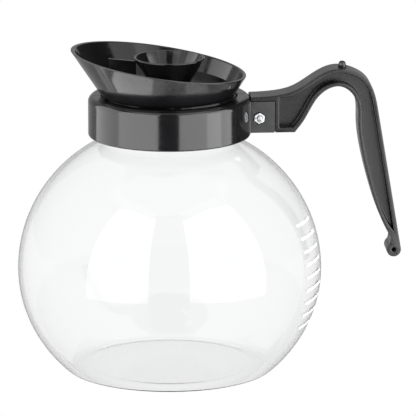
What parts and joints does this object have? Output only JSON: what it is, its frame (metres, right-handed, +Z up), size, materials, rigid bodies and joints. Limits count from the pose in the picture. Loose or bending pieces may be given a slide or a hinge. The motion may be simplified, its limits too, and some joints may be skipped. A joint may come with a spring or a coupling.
{
  "type": "glass coffee jug",
  "caption": "Round glass coffee jug with a clamped neck collar, a bolted hump-back handle, a slanted pouring funnel and a lift-out lid with a drip cup.",
  "frame": {"origin": "centre of the base ring, on the surface that the jug stands on", "axes": "+Z up along the bowl's axis, +X towards the handle, pouring lip at -X"},
  "size_m": [0.2083, 0.165, 0.1779],
  "materials": {
    "clear_glass": "clear, fire polished",
    "white_enamel": "white print",
    "soft_rubber": "matt",
    "black_plastic": "polished black",
    "plated_steel": "bright zinc plate"
  },
  "bodies": {
    "jug": {"glass_bowl": "clear_glass", "graduation_marks": "white_enamel", "neck_cushion": "soft_rubber", "collar_near_half": "black_plastic", "collar_far_half": "black_plastic", "handle": "black_plastic", "clamp_screw": "plated_steel", "clamp_nut": "plated_steel"},
    "funnel": {"pouring_funnel": "black_plastic", "funnel_seal": "soft_rubber"},
    "lid": {"lid": "black_plastic"}
  },
  "joints": [
    {"name": "funnel_lift", "type": "slide", "parent": "jug", "child": "funnel", "axis": [0, 0, 1], "range_m": [0, 0.05]},
    {"name": "lid_lift", "type": "slide", "parent": "funnel", "child": "lid", "axis": [0, 0, 1], "range_m": [0, 0.05]}
  ]
}
